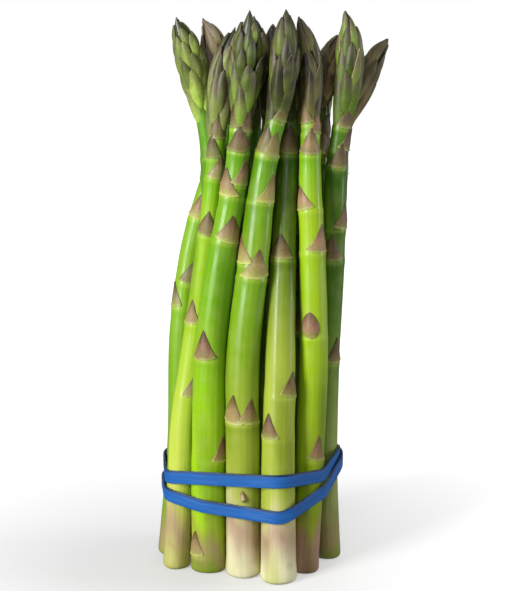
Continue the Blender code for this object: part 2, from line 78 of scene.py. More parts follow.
# route: the stem's axis at chosen heights, (x, y, z). foot, neck, head: diameters. taper: how late the stem
# thins. neck_z: where the head starts. firm: 1 holds its place in the press, 0 gives way. bracts: (height,
# degrees from the front, turning right) of the scale leaves that were placed; None spaces them by rule.
Spear = namedtuple("Spear", "name route foot neck head taper neck_z firm bracts")
SPEARS = (
    Spear("spear_01", ((-30.5, -10.6, 0), (-28.9, -8, 35), (-28, -6.5, 57), (-23.5, -4, 89),
                       (-20.2, -3.3, 113), (-17.2, -3.3, 137), (-13.9, -3, 167), (-12, -3, 190),
                       (-10.3, -3, 206), (-5.1, -2, 223)),
          11.0, 7.0, 9.6, 1.5, 180, 0.9,
          ((73, 30), (103, -38), (140, -10), (163, 40), (171, -32), (179, 5))),
    Spear("spear_02", ((-16.8, -13.2, 0), (-16.8, -13, 50), (-15.6, -13, 95), (-10.5, -12, 136),
                       (-5.6, -11, 165), (-3.4, -11, 185), (-1.3, -11, 207), (0.1, -11, 230)),
          14.0, 7.9, 11.8, 2.4, 187, 1.0,
          ((7, -60), (48, 60), (91, -28), (139, 28), (157, -55), (162, 52), (175, 0), (183, 62), (184, -62))),
    Spear("spear_03", ((-2.9, -18.2, 0), (-2.9, -18, 45), (-2.6, -17, 95), (2.3, -14, 136), (7, -11, 172),
                       (11.7, -10, 190), (14.4, -9.5, 211), (15, -9.5, 230)),
          14.1, 7.4, 11.0, 3.7, 187, 1.0,
          ((66, -66), (66, 62), (125, 15), (130, -80), (155, 52), (173, 20), (174, -50), (187, 62))),
    Spear("spear_04", ((11.6, -22.9, 0), (11.4, -22, 46), (12.4, -17, 96), (13.8, -8, 140), (15.2, -2, 171),
                       (15.6, 3, 192), (15.5, 4.5, 208), (15.3, 4.5, 222)),
          14.6, 7.6, 9.0, 1.5, 187, 0.9,
          ((60, -45), (77, 50), (131, -18), (172, 0))),
    Spear("spear_05", ((22.1, -15, 0), (24.2, -14, 44), (25.8, -13, 95), (24.8, -10, 136), (23.6, -8, 166),
                       (23.4, -6, 191), (23.2, -5, 208), (21.3, -5, 218), (18.3, -5, 227)),
          11.8, 7.0, 8.8, 3.5, 187, 1.0,
          ((49, 30), (100, -20), (134, 48), (151, -62), (173, 0), (181, 64), (185, -55))),
    Spear("spear_06", ((32.8, 0.8, 0), (31.2, 1, 38), (31.4, 1, 80), (33.8, 0, 133), (35.5, 0, 174),
                       (37.6, 0, 188), (39.3, 0, 202), (39.8, 0, 214), (39.3, 0, 223), (37.8, 0, 229)),
          10.8, 7.5, 10.4, 3.5, 185, 1.0,
          ((86, 42), (129, -20), (142, 72), (167, 25), (174, 74), (183, 35))),
    Spear("spear_07", ((-33.2, 5, 0), (-28.7, 6, 50), (-27.6, 8, 100), (-23.4, 11, 132), (-15.2, 13.5, 161),
                       (-10, 9.5, 175), (-4, 6, 189), (2.8, 5, 211), (2.0, 4, 227)),
          11.0, 7.4, 10.6, 2.0, 187, 0.5,
          ((107, -62), (117, 25), (143, -15))),
    Spear("spear_08", ((-21, 0.5, 0), (-20, 2, 45), (-17.4, 7, 100), (-15, 5, 150), (-15, 4.5, 173),
                       (-16.6, 4.5, 184), (-18.8, 4.5, 193), (-22.2, 4.5, 208), (-25, 4, 217),
                       (-28.3, 3, 226.5)),
          10.6, 6.4, 11.2, 2.0, 189, 0.5, None),
    Spear("spear_09", ((-7, -4, 0), (-7.2, -3, 45), (-7, 1, 100), (-6.6, 10, 140), (-7, 17.5, 163),
                       (-8.3, 17.5, 175), (-11, 14.5, 188), (-14.4, 13, 208), (-16.6, 13, 219),
                       (-20.2, 13, 225.5)),
          10.8, 6.6, 11.8, 2.0, 186, 0.4, None),
    Spear("spear_10", ((8.5, -8, 0), (8, -6, 45), (7.5, 0, 100), (7.8, 9, 150), (8.2, 14, 185),
                       (9.1, 14.5, 207), (8.9, 13.5, 223)),
          11.0, 6.8, 9.8, 2.0, 184, 0.4, None),
    Spear("spear_11", ((20.5, 0.5, 0), (21, 1, 45), (24.2, 4, 100), (28.4, 7.5, 140), (29.2, 8.5, 165),
                       (29.2, 9.3, 182), (29.6, 9.5, 193), (31.4, 9.5, 206), (35.8, 9.5, 219)),
          10.4, 6.0, 10.2, 2.0, 190, 0.5, None),
    Spear("spear_12", ((28, 11.5, 0), (28, 11.5, 45), (31, 11.5, 100), (35.4, 11, 150), (37.4, 10, 181),
                       (39.8, 9, 189), (46.6, 9, 204), (50.4, 9, 211), (55.4, 9, 217.5)),
          10.6, 6.2, 10.2, 2.0, 180, 0.3, None),
    Spear("spear_13", ((-24, 13.5, 0), (-22.5, 14.5, 45), (-19.5, 18.5, 100), (-17.5, 21.5, 150),
                       (-16.8, 22, 175), (-16.5, 22.5, 190), (-16.5, 22, 203)),
          10.6, 6.4, 9.8, 2.0, 177, 0.2, None),
    Spear("spear_14", ((-11, 11, 0), (-9.5, 12, 45), (-6, 15, 100), (0, 20, 150), (2, 20, 185), (1, 19, 205),
                       (-0.5, 18, 219)),
          11.2, 6.6, 10.2, 2.0, 182, 0.2, None),
    Spear("spear_15", ((2, 7.5, 0), (3, 8.5, 45), (9, 11, 90), (16.8, 13, 120), (18.8, 14, 150),
                       (18.8, 14, 185), (19.5, 14, 203), (19, 13.5, 216)),
          11.0, 6.4, 9.8, 2.0, 178, 0.2, None),
    Spear("spear_16", ((15, 12.5, 0), (16.5, 13, 45), (21.5, 17, 100), (26, 19, 150), (26.5, 19.2, 182),
                       (25.5, 19, 201), (25, 18.5, 212)),
          10.8, 6.4, 9.8, 2.0, 176, 0.2, None),
)

# Height of the band's middle over each spear, on its first time round and on its second.
FIRST_TURN = {"spear_13": 45.0, "spear_07": 42.0, "spear_01": 39.4, "spear_02": 41.8, "spear_03": 42.9,
              "spear_04": 44.2, "spear_05": 42.4, "spear_06": 46.6, "spear_12": 39.6}
SECOND_TURN = {"spear_13": 35.0, "spear_07": 32.4, "spear_01": 32.2, "spear_02": 30.0, "spear_03": 28.8,
               "spear_04": 29.0, "spear_05": 35.6, "spear_06": 43.6, "spear_12": 46.0}
CROSSING = (298.0, 322.0, 420.0, 443.0)  # degrees where the second turn rides out over the first, and back in

STEM_COLUMNS = 56
STEM_ROW = 1.1  # height between two rows of the stem's skin
FOOT_ROUND = 1.6  # how far up a foot's edge is rounded
NODE_SWELL = 0.36
WAIST = 0.12  # how much slimmer the stem is just above a node
RIB = 0.035
CORE_SHARE = 0.72
LEAF_COLUMNS = 17
LEAF_ROWS = 19
SCALE_COLUMNS = 13
SCALE_ROWS = 17
HEAD_SCALES = 27  # on a loose head
LEAFY_FEWER = 7  # how many fewer on a closed one
FIRST_SEED = 100
BAND_SECTION = 28
LEAF_PLUMPER = 2.2  # how much further a plump scale leaf bulges
BUDS = {"spear_03": ((33.4, 2.0),)}  # small buds low on a stem: height, degrees from the front
BUD_LENGTH = 4.8
BUD_SPREAD = 30  # degrees
MORE_LEAVES = {"spear_11": ((168.5, 82.0), (177.5, 64.0))}  # close under the head, between two front stems
# a low pair of scale leaves that nearly meets: the degrees that replace those in the table
TURNED_IN = {("spear_03", 66, -66): -43.0, ("spear_03", 66, 62): 26.0}
PLUMP = {"spear_05": (100,), "spear_11": (168.5, 177.5)}  # heights of scale leaves that bulge over their bud
PALE_UP_TO = {"spear_04": (0.42, 0.80)}  # a stem that stays pale higher up: shares of its height to the head


def rgb(red, green, blue):
    """A colour as seen, from 0 to 255 each."""
    return np.array([red, green, blue]) / 255.0


def light(colour):
    """A colour as seen, turned into light: each share to the power 2.2."""
    return np.asarray(colour, float) ** 2.2


# Finishes of a spear, as seen. foot: the lowest few centimetres, green above foot_top. low and high: the
# stem near the foot and near the head. bract: the scale leaves. scale, blush: a head's scales at their root
# and at their point. loose: how far the head has opened, from 0 for closed and leafy to 1 for plump buds.
Look = namedtuple("Look", "foot foot_top low high bract scale blush loose")
CREAM = rgb(232, 224, 182)
PINK = rgb(176, 138, 120)
LIME = rgb(150, 192, 24)
GRASS = rgb(112, 158, 16)
DEEP = rgb(70, 102, 14)
TAN = rgb(158, 138, 92)
MAUVE = rgb(140, 112, 92)
PURPLE = rgb(82, 66, 58)
LOOKS = {
    "spear_01": Look(rgb(192, 188, 108), 30, rgb(202, 216, 84), rgb(150, 196, 22), rgb(156, 146, 102),
                     rgb(116, 126, 70), rgb(92, 80, 66), 0.7),
    "spear_02": Look(rgb(118, 150, 26), 14, rgb(164, 210, 26), rgb(112, 170, 12), rgb(142, 116, 84),
                     rgb(106, 126, 48), rgb(70, 64, 52), 1.0),
    "spear_03": Look(CREAM, 34, rgb(160, 172, 60), rgb(112, 164, 14), rgb(146, 136, 78),
                     rgb(90, 98, 44), rgb(54, 44, 34), 0.2),
    # spear_04's high green is partly darkened as painted shade, for its upper stem lies in its neighbours' shade
    "spear_04": Look(rgb(248, 243, 200), 30, rgb(168, 184, 62), rgb(78, 108, 10), rgb(120, 98, 54),
                     rgb(92, 94, 42), rgb(58, 48, 34), 0.3),
    "spear_05": Look(rgb(158, 122, 108), 22, rgb(146, 174, 18), rgb(158, 198, 22), rgb(172, 140, 100),
                     rgb(96, 88, 54), rgb(56, 44, 38), 0.2),
    # spear_06's high green is partly darkened as painted shade, for its upper stem lies in its neighbour's shade
    "spear_06": Look(rgb(112, 140, 34), 14, rgb(150, 166, 90), rgb(72, 114, 14), rgb(116, 94, 72),
                     rgb(102, 128, 42), rgb(92, 82, 62), 0.4),
    "spear_07": Look(rgb(140, 160, 60), 20, rgb(122, 168, 28), rgb(124, 176, 22), rgb(146, 136, 88),
                     rgb(122, 128, 62), rgb(82, 74, 54), 0.5),
    "spear_08": Look(rgb(150, 156, 84), 26, LIME, rgb(126, 172, 44), MAUVE,
                     rgb(154, 176, 84), rgb(118, 124, 66), 1.0),
    "spear_09": Look(rgb(170, 160, 110), 30, GRASS, DEEP, MAUVE, rgb(184, 168, 136), rgb(122, 98, 90), 0.4),
    "spear_10": Look(CREAM, 36, GRASS, DEEP, PURPLE, rgb(88, 76, 58), rgb(58, 48, 42), 0.1),
    # spear_11's dark high green and darkened bracts are partly painted shade, for it stands in the shade of the front
    # stems
    "spear_11": Look(rgb(150, 150, 80), 26, GRASS, rgb(56, 76, 18), MAUVE * 0.8,
                     rgb(150, 126, 90), rgb(100, 76, 58), 0.1),
    "spear_12": Look(rgb(120, 130, 60), 26, GRASS, rgb(56, 76, 18), TAN, rgb(138, 120, 84),
                     rgb(88, 72, 56), 0.3),
    "spear_13": Look(rgb(190, 180, 130), 34, LIME, GRASS, TAN, rgb(118, 122, 62), MAUVE * 0.8, 0.6),
    "spear_14": Look(CREAM, 38, rgb(150, 176, 60), GRASS, MAUVE, rgb(128, 144, 66), PURPLE, 0.8),
    "spear_15": Look(rgb(160, 140, 110), 28, GRASS, rgb(60, 84, 16), MAUVE, rgb(106, 108, 58), PURPLE, 0.3),
    "spear_16": Look(rgb(150, 160, 70), 24, LIME, DEEP, TAN, rgb(120, 134, 64), rgb(84, 74, 56), 0.5),
}
RING = rgb(186, 204, 92)  # the pale lip under a scale leaf
EDGE = rgb(190, 172, 126)  # its dry margin
CUT = rgb(206, 206, 150)  # the cut face of a foot
BUD = rgb(206, 184, 136)
BAND_BLUE = rgb(22, 92, 168)
BAND_SHADED_EDGE = rgb(8, 30, 62)  # painted shade along its upper edge
SCUFF = rgb(84, 140, 214)
BLOTCH = rgb(164, 172, 88)
UNDER_HEAD_GREEN_AND_SHADE = np.array([0.66, 0.86, 0.45])  # deepens the green close under a head: partly the stem's own deeper green, partly painted shade from the head above
DULL_PATCH = np.array([0.84, 0.86, 0.70])
DRY_POINT = np.array([0.60, 0.52, 0.50])
REDDER = np.array([1.0, 0.80, 0.86])

FLOOR_SIDE = 30.0
FLOOR_GREY = 0.45
GLOW_CENTRE = (-0.05, -0.01, 0.0)
GLOW_NEAR = (0.03, 0.36)  # metres from that centre, and how strongly the floor glows there
GLOW_FAR = (0.27, 0.90)
ROOM_LIGHT = 0.20
AIM_HEIGHT = 0.11
LAMPS = (  # name, place and size in metres, watts
    ("key", (-0.82, -0.74, 0.52), (0.35, 0.8), 17.0),
    ("front", (-0.15, -1.25, 0.75), (0.5, 0.5), 3.0),
    ("edge", (0.85, -0.05, 0.28), (0.18, 0.6), 3.0),
    ("top", (0.25, 0.15, 1.0), (0.6, 0.6), 1.8),
    ("rear", (0.1, 1.2, 0.8), (1.0, 0.8), 2.4),
)


def smooth(at, knots, values):
    """Cubic curve through values at knots, read at the places 'at'. Slopes are the neighbours' chords."""
    knots = np.asarray(knots, float)
    values = np.asarray(values, float)
    slopes = np.gradient(values, knots, axis=0)
    at = np.clip(at, knots[0], knots[-1])
    i = np.clip(np.searchsorted(knots, at, side="right") - 1, 0, len(knots) - 2)
    span = knots[i + 1] - knots[i]
    t = (at - knots[i]) / span
    shape = (1,) * (values.ndim - 1)
    t = t.reshape(t.shape + shape)
    span = span.reshape(span.shape + shape)
    return (
        values[i] * (1 + 2 * t) * (1 - t) ** 2
        + values[i + 1] * t**2 * (3 - 2 * t)
        + slopes[i] * span * t * (1 - t) ** 2
        + slopes[i + 1] * span * t**2 * (t - 1)
    )


def ease(low, high, x):
    """0 below low, 1 above high, and a smooth step between."""
    t = np.clip((x - low) / (high - low), 0.0, 1.0)
    return t * t * (3 - 2 * t)


def tip_z(spear):
    return spear.route[-1][2]


def radius(spear, z):
    """Outer radius at height z: a flared foot, a stem that thins late, and a head that swells to a point."""
    z = np.asarray(z, float)
    flare = 1 + FOOT_FLARE * (1 - ease(0.0, FLARE_HEIGHT, z))
    share = np.clip(z / spear.neck_z, 0, 1)
    stem = (spear.foot - (spear.foot - spear.neck) * share**spear.taper) / 2 * flare
    u = np.clip((z - spear.neck_z) / (tip_z(spear) - spear.neck_z), 0, 1)
    swell = spear.neck / 2 + (spear.head - spear.neck) / 2 * ease(0.0, HEAD_BELLY, u)
    fall = np.clip((u - HEAD_BELLY) / (1 - HEAD_BELLY), 0, 1) ** HEAD_POINT
    return np.where(z < spear.neck_z, stem, swell * (1 - fall))


def settle():
    """Presses the spears together: at each level, those that overlap push each other apart, the less firm
    one further, and each spear's moves are smoothed along its length. Returns the levels and the (x, y) at
    them."""
    levels = np.arange(0.0, TOP_LEVEL + LEVEL_STEP, LEVEL_STEP)
    axes = []
    reach = []
    for spear in SPEARS:
        route = np.array(spear.route, float)
        axes.append(smooth(levels, route[:, 2], route[:, :2]))
        lean = np.linalg.norm(np.gradient(axes[-1], levels, axis=0), axis=-1)
        r = radius(spear, levels) * np.where(levels < spear.neck_z, 1.0, SCALE_BELLY) * np.hypot(1, lean)
        r = r + BRACT_ROOM
        reach.append(np.where(levels <= tip_z(spear), r, -TOP_LEVEL))
    start = np.array(axes)
    reach = np.array(reach)
    yielding = 1.05 - np.array([spear.firm for spear in SPEARS])
    share = yielding[:, None] / (yielding[:, None] + yielding[None, :])
    moves = np.zeros_like(start)
    for _ in range(SETTLE_ROUNDS):
        place = start + moves
        apart = place[:, None] - place[None, :]
        distance = np.linalg.norm(apart, axis=-1) + 1e-6
        short = reach[:, None] + reach[None, :] + SPEAR_GAP - distance
        short = np.maximum(short, 0)
        short[np.arange(len(SPEARS)), np.arange(len(SPEARS))] = 0
        push = apart / distance[..., None] * (short * share[..., None])[..., None]
        moves = moves + 0.5 * push.sum(axis=1)
        padded = np.concatenate([moves[:, :1], moves, moves[:, -1:]], axis=1)
        moves = 0.25 * padded[:, :-2] + 0.5 * padded[:, 1:-1] + 0.25 * padded[:, 2:]
    return levels, start + moves + np.array(ORIGIN_SHIFT)


class Axis:
    """A settled spear: its centre line, the frame round it, and points on or off its surface."""

    def __init__(self, spear, levels, places):
        self.spear = spear
        self.levels = levels
        self.places = places

    def centre(self, z):
        z = np.asarray(z, float)
        xy = smooth(z, self.levels, self.places)
        return np.concatenate([xy, z[..., None]], axis=-1)

    def frame(self, z):
        """Two unit vectors across the spear at height z: one towards +X, one towards +Y."""
        along = self.centre(np.asarray(z) + 1.0) - self.centre(np.asarray(z) - 1.0)
        along /= np.linalg.norm(along, axis=-1, keepdims=True)
        across = np.array([1.0, 0, 0]) - along * along[..., :1]
        across /= np.linalg.norm(across, axis=-1, keepdims=True)
        return across, np.cross(along, across)

    def point(self, z, angle, distance):
        """The point at this distance from the axis, at an angle in radians anticlockwise from +X."""
        z, angle, distance = np.broadcast_arrays(np.asarray(z, float), angle, distance)
        across, back = self.frame(z)
        return (
            self.centre(z)
            + (np.cos(angle) * distance)[..., None] * across
            + (np.sin(angle) * distance)[..., None] * back
        )


def mix(a, b, share):
    """a where share is 0, b where it is 1; share gains a last axis for the colour's three values."""
    share = np.asarray(share, float)[..., None]
    return np.asarray(a) * (1 - share) + np.asarray(b) * share


class Patchwork:
    """Grids of points gathered into one mesh, each with its colours, grain coordinates and material."""

    def __init__(self):
        self.points = []
        self.faces = []
        self.tints = []
        self.grains = []
        self.slots = []
        self.count = 0

    def grid(self, points, tint, grain, slot, round_columns=False, flip=False):
        """Adds a grid of rows and columns; round_columns joins its last column to its first."""
        rows, columns = points.shape[:2]
        index = np.arange(rows * columns).reshape(rows, columns) + self.count
        right = np.roll(index, -1, axis=1) if round_columns else index[:, 1:]
        left = index if round_columns else index[:, :-1]
        corners = [left[:-1], right[:-1], right[1:], left[1:]]
        if flip:
            corners = corners[::-1]
        faces = np.stack([c.reshape(-1) for c in corners], axis=1)
        self.points.append(points.reshape(-1, 3))
        self.tints.append(np.broadcast_to(tint, points.shape).reshape(-1, 3))
        self.grains.append(np.broadcast_to(grain, points.shape).reshape(-1, 3))
        self.faces.append(faces)
        self.slots.append(np.full(len(faces), slot))
        self.count += rows * columns

    def build(self, name, materials):
        """The mesh, with its tint and grain as attributes of its points."""
        points = np.concatenate(self.points) * MM
        faces = np.concatenate(self.faces)
        mesh = bpy.data.meshes.new(name)
        mesh.from_pydata(points.tolist(), [], faces.tolist())
        for made in materials:
            mesh.materials.append(made)
        mesh.polygons.foreach_set("material_index", np.concatenate(self.slots).astype(np.int32))
        tint = mesh.attributes.new("tint", "FLOAT_COLOR", "POINT")
        colours = np.concatenate([light(np.concatenate(self.tints)), np.ones((len(points), 1))], axis=1)
        tint.data.foreach_set("color", colours.astype(np.float32).ravel())
        grain = mesh.attributes.new("grain", "FLOAT_VECTOR", "POINT")
        grain.data.foreach_set("vector", np.concatenate(self.grains).astype(np.float32).ravel())
        mesh.polygons.foreach_set("use_smooth", np.ones(len(faces), bool))
        mesh.validate()
        mesh.update()
        piece = bpy.data.objects.new(name, mesh)
        bpy.context.scene.collection.objects.link(piece)
        return piece


def bract_places(spear, start):
    """Heights and angles of the scale leaves on a stem: as placed, or a spiral that closes up at the head."""
    more = [(z, math.radians(turn - 90)) for z, turn in MORE_LEAVES.get(spear.name, ())]
    if spear.bracts is not None:
        placed = [(z, TURNED_IN.get((spear.name, z, turn), turn)) for z, turn in spear.bracts]
        return [(z, math.radians(turn - 90)) for z, turn in placed] + more
    turns = start + GOLDEN_ANGLE * np.arange(len(BRACT_SHARES))
    return [(share * spear.neck_z, math.radians(turn)) for share, turn in zip(BRACT_SHARES, turns)] + more


def turned(angle, towards):
    """The angle from 'towards' to 'angle', from -pi to pi."""
    return (angle - towards + math.pi) % (2 * math.pi) - math.pi


def skin_radius(axis, z, angle, nodes, ripple):
    """The stem's surface: the plain radius, a little out of round, with faint ribs along it, a swelling
    just under each scale leaf that is strongest on the leaf's side, and a rounded edge at the foot."""
    r = radius(axis.spear, z)
    r = r * (1 + 0.014 * np.cos(2 * angle + ripple[0] + z * 0.006) + 0.008 * np.cos(3 * angle + ripple[1]))
    r = r + RIB * np.cos(17 * angle + ripple[2] + 0.004 * z) * ease(2.0, 8.0, z)
    r = r + 0.05 * np.sin(z * 0.11 + ripple[3]) * np.cos(angle + ripple[4] + z * 0.02)
    r = r + 0.14 * np.cos(3 * angle + ripple[4]) * (1 - ease(0.0, 7.0, z))
    for node_z, node_angle in nodes:
        whole = 0.2 + 0.5 * ease(0.5, 0.8, node_z / axis.spear.neck_z)
        side = whole + (1 - whole) * np.exp(-((turned(angle, node_angle) / 0.95) ** 2))
        away = z - node_z
        swell = np.where(away < 0, np.exp(-((away / 2.4) ** 2)), np.exp(-((away / 0.6) ** 2)))
        waist = np.exp(-(((away - 6.0) / 5.0) ** 2))
        r = r + NODE_SWELL * side * swell - WAIST * waist
    drop = np.clip(1 - z / FOOT_ROUND, 0, 1)
    return r - FOOT_ROUND * (1 - np.sqrt(1 - drop**2)) * 0.8


def stem_tint(look, spear, z, angle, nodes, ripple):
    """The stem's colour: the foot's up to foot_top with a pinkish blush and mottle over it, then yellower
    green below and purer green above, deeper close under the head (its own deeper green and painted shade from
    the head), pale at each node, dull in soft patches."""
    wave = 5.0 * np.sin(2 * angle + ripple[1]) + 3.0 * np.sin(5 * angle + ripple[2])
    last_pale, full_green = PALE_UP_TO.get(spear.name, (0.15, 0.75))
    green = mix(look.low, look.high, ease(last_pale, full_green, z / spear.neck_z))
    # the stem's own deeper green under the head, together with painted shade from the head above
    green = mix(green, green * UNDER_HEAD_GREEN_AND_SHADE, ease(0.78, 0.96, z / spear.neck_z) * 0.85)
    colour = mix(look.foot, green, ease(look.foot_top * 0.45, look.foot_top * 1.35, z + wave))
    blush = np.exp(-(((z + 0.6 * wave - look.foot_top * 0.60) / 8.0) ** 2)) * 0.68
    colour = mix(colour, PINK, blush)
    mottle = np.sin(z * 0.21 + 2 * angle + ripple[4]) * np.sin(3 * angle - z * 0.12 + ripple[0])
    mottle = mottle + 0.7 * np.sin(z * 0.43 - angle + ripple[1]) * np.sin(5 * angle + z * 0.19 + ripple[2])
    above_cut = ease(4.0, 12.0, z) * (1 - ease(14.0, 40.0, z))
    colour = mix(colour, PINK * 0.9, ease(0.2, 1.5, mottle) * 0.5 * above_cut)
    patch = np.sin(z * 0.045 + ripple[0]) * np.sin(angle * 2 + z * 0.03 + ripple[3])
    colour = mix(colour, colour * DULL_PATCH, ease(0.1, 0.9, patch))
    for node_z, node_angle in nodes:
        side = np.exp(-((turned(angle, node_angle) / 1.0) ** 2))
        whole = ease(0.5, 0.8, node_z / spear.neck_z)
        lip = np.exp(-(((z - node_z + 0.5) / 0.9) ** 2)) * (0.06 + 0.5 * whole + (0.8 - 0.4 * whole) * side)
        colour = mix(colour, RING, 0.6 * lip)
        above = ease(0.0, 2.0, z - node_z) * (1 - ease(8.0, 26.0, z - node_z))
        colour = mix(colour, RING, 0.12 * above)
    return colour


def stem(work, axis, look, nodes, ripple):
    """The stem's skin from the middle of its cut end up into the head, and the head's slimmer core."""
    spear = axis.spear
    top = tip_z(spear)
    low = [0.0, 0.04, 0.12, 0.26, 0.48, 0.8, 1.2]
    z = np.concatenate([low, np.arange(1.7, top - 0.8, STEM_ROW), [top - 0.4]])
    angle = np.linspace(0, 2 * math.pi, STEM_COLUMNS, endpoint=False)
    zz, aa = np.meshgrid(z, angle, indexing="ij")
    r = skin_radius(axis, zz, aa, nodes, ripple)
    into_head = ease(spear.neck_z - 3.0, spear.neck_z + 8.0, zz)
    r = r * (1 - (1 - CORE_SHARE) * into_head)
    points = axis.point(zz, aa, r)
    points[..., 2] = np.where(zz < 0.01, 0.0, np.maximum(points[..., 2], 0.0))
    colour = stem_tint(look, spear, zz, aa, nodes, ripple)
    # painted shade: the head's core, seen between its scales, is darkened to 0.45 of the scales' colour
    colour = mix(colour, mix(look.scale, look.blush, 0.7) * 0.45, into_head)
    foot_radius = spear.foot / 2
    grain = np.stack([foot_radius * np.cos(aa), foot_radius * np.sin(aa), zz + 400 * ripple[5]], axis=-1)
    work.grid(points, colour, grain, 0, round_columns=True)
    shares = np.array([1.0, 0.93, 0.7, 0.4, 0.12, 0.0])[:, None, None]
    middle = points[0].mean(axis=0)
    disc = middle + (points[0] - middle) * shares
    disc[..., 2] = 0.0
    ring = ease(0.7, 1.0, shares[..., 0]) * np.ones(STEM_COLUMNS)
    inside = grain[0] * shares + ripple[5] * 50
    work.grid(disc, mix(CUT, look.foot * 0.9, ring), inside, 0, round_columns=True, flip=True)
    crown = np.stack([points[-1], np.broadcast_to(axis.centre(top - 0.1), points[-1].shape)])
    work.grid(crown, colour[-1:], grain[-1:], 0, round_columns=True)


def closed_leaf(work, outer, inner, tint, grain, slot):
    """A leaf's outer and inner sheets, and the thin rim between them, as one closed grid wrapped across."""
    rounds = np.concatenate([outer, inner[:, ::-1]], axis=1)
    tints = np.concatenate([tint, tint[:, ::-1] * 0.8], axis=1)
    grains = np.concatenate([grain, grain[:, ::-1]], axis=1)
    work.grid(rounds, tints, grains, slot, round_columns=True)
    for row, flip in ((0, True), (-1, False)):
        cap = np.stack([outer[row], inner[row]])
        work.grid(cap, np.stack([tint[row], tint[row]]), np.stack([grain[row], grain[row]]), slot, flip=flip)


def scale_leaf(work, axis, colour, z0, angle, length, spread, plump, nodes, ripple, draw):
    """A scale leaf on the stem. Across (u from -1 to 1) it spans an angle that shrinks from spread at its
    base to nothing at its point, with nearly straight sides; along (v from 0 to 1) it lies on the skin,
    bulged over the bud it covers, with a raised lip at its base and its dry point a little free. A plump
    one is almond shaped."""
    u = np.linspace(-1, 1, LEAF_COLUMNS)[None, :]
    v = np.linspace(0, 1, LEAF_ROWS)[:, None] ** 1.15
    lean = draw.uniform(-0.22, 0.22)
    corner = 1 - 0.10 * np.clip(1 - v / 0.06, 0, 1) ** 2
    hollow = 1 - draw.uniform(-0.04, 0.24) * np.sin(math.pi * v**0.8)
    almond = 1.45 * (v + 0.06) ** 0.45 * (1 - v) ** 0.75
    half = spread / 2 * ((almond if plump else (1 - v) * hollow * corner) + 0.02)
    aa = angle + u * half + lean * v**1.5
    tilt = draw.uniform(-0.06, 0.06)
    zz = z0 + length * (v + (1 - v) * (0.08 * u**2 * (spread / 2) + tilt * u))
    skin = skin_radius(axis, zz, aa, nodes, ripple)
    bulge = draw.uniform(0.35, 0.75) * np.sin(math.pi * v**0.62) * (1 - u**2) ** 1.1 * (LEAF_PLUMPER if plump else 1.0)
    free = draw.uniform(0.05, 0.4) * v**4
    lip = 0.20 * np.exp(-((v / 0.06) ** 2))
    edge = 0.10 * np.abs(u) ** 6 * (1 - v)
    outer = axis.point(zz, aa, skin + 0.16 + bulge + free + lip + edge)
    inner = axis.point(zz, aa, skin - 0.25 + 0.6 * free)
    colour = mix(colour, MAUVE * REDDER, draw.uniform(0.0, 0.55))
    # a random tone, lowered by up to a fifth for leaves close under the head: painted shade from the head above
    tone = draw.uniform(0.88, 1.16) * (1 - 0.22 * ease(0.86, 0.96, z0 / axis.spear.neck_z))
    pale = mix(RING, TAN, draw.uniform(0.2, 0.9)) * 0.94
    body = mix(mix(pale, colour, 0.3), colour, ease(0.05, 0.42, v + 0.10 * u**2))
    body = mix(body, colour * DRY_POINT, ease(0.35, 1.0, v + 0.25 * np.abs(u) ** 3) * 0.85)
    rim = ease(0.86, 1.0, np.abs(u)) * (1 - v)
    body = mix(body, pale, 0.25 * rim)
    tint = np.clip(mix(body, RING, 0.65 * np.exp(-((v / 0.05) ** 2)) + 0 * u) * tone, 0, 1)
    grain = np.stack(np.broadcast_arrays(u * half * 5.0, v * length, draw.uniform(0, 90) + 0 * u), axis=-1)
    closed_leaf(work, outer, inner, tint, grain, 1)


def head_scale(work, axis, look, root, angle, length, width, draw, share):
    """One scale of the head. Its width is v^p (1 - v)^q, widest low on a leafy one and midway on a bud; its
    distance from the axis grows along it, so that its point lies over the roots of those above."""
    spear = axis.spear
    loose = look.loose
    u = np.linspace(-1, 1, SCALE_COLUMNS)[None, :]
    v = np.linspace(0, 1, SCALE_ROWS)[:, None]
    p = 0.30 + 0.30 * loose
    q = 0.95 - 0.15 * loose
    peak = (p / (p + q)) ** p * (q / (p + q)) ** q
    half = width / 2 * (v**p * (1 - v) ** q) / peak
    zz = np.broadcast_to(root + length * v, (SCALE_ROWS, SCALE_COLUMNS))
    zz = np.minimum(zz, tip_z(spear) - 0.05 - 0.3 * (1 - share))
    envelope = radius(spear, zz)
    reach = np.maximum(envelope, 1.1)
    lean = draw.uniform(-0.22, 0.22)
    aa = angle + u * np.minimum(half / reach, 1.45) + lean * v**1.5
    belly = (0.07 + 0.12 * loose) * width * np.sin(math.pi * v**0.8) * (1 - u**2) ** 0.9
    keel = 0.05 * width * (1 - np.abs(u)) ** 2 * np.sin(math.pi * v)
    lie = 0.76 + 0.24 * v ** (0.55 + 0.3 * loose)
    free = draw.uniform(0.1, 0.8) * v**3
    outer = axis.point(zz, aa, envelope * lie + belly + keel + free)
    inner = axis.point(zz, aa, envelope * (lie - 0.10) - 0.25)
    tone = draw.uniform(0.70, 1.28)
    start = 0.26 + 0.20 * loose + draw.uniform(-0.22, 0.20)
    body = mix(look.scale * np.array([1.06, 1.14, 0.86]), look.scale, ease(0.05, 0.45, v) + 0 * u)
    body = mix(body, look.blush, ease(start, 0.98, v + 0.22 * np.abs(u)))
    rim = ease(0.80, 1.0, np.abs(u)) * (1 - 0.3 * v)
    body = mix(body, EDGE, 0.38 * rim)
    # painted shade at each scale's root, where it tucks under the scales round it
    root_shade = 1 - 0.45 * (1 - ease(0.0, 0.14, v)) + 0 * u
    tint = np.clip(body * tone * root_shade[..., None], 0, 1)
    grain = np.stack(np.broadcast_arrays(u * width / 2, v * length, draw.uniform(0, 90) + 0 * u), axis=-1)
    closed_leaf(work, outer, inner, tint, grain, 2)


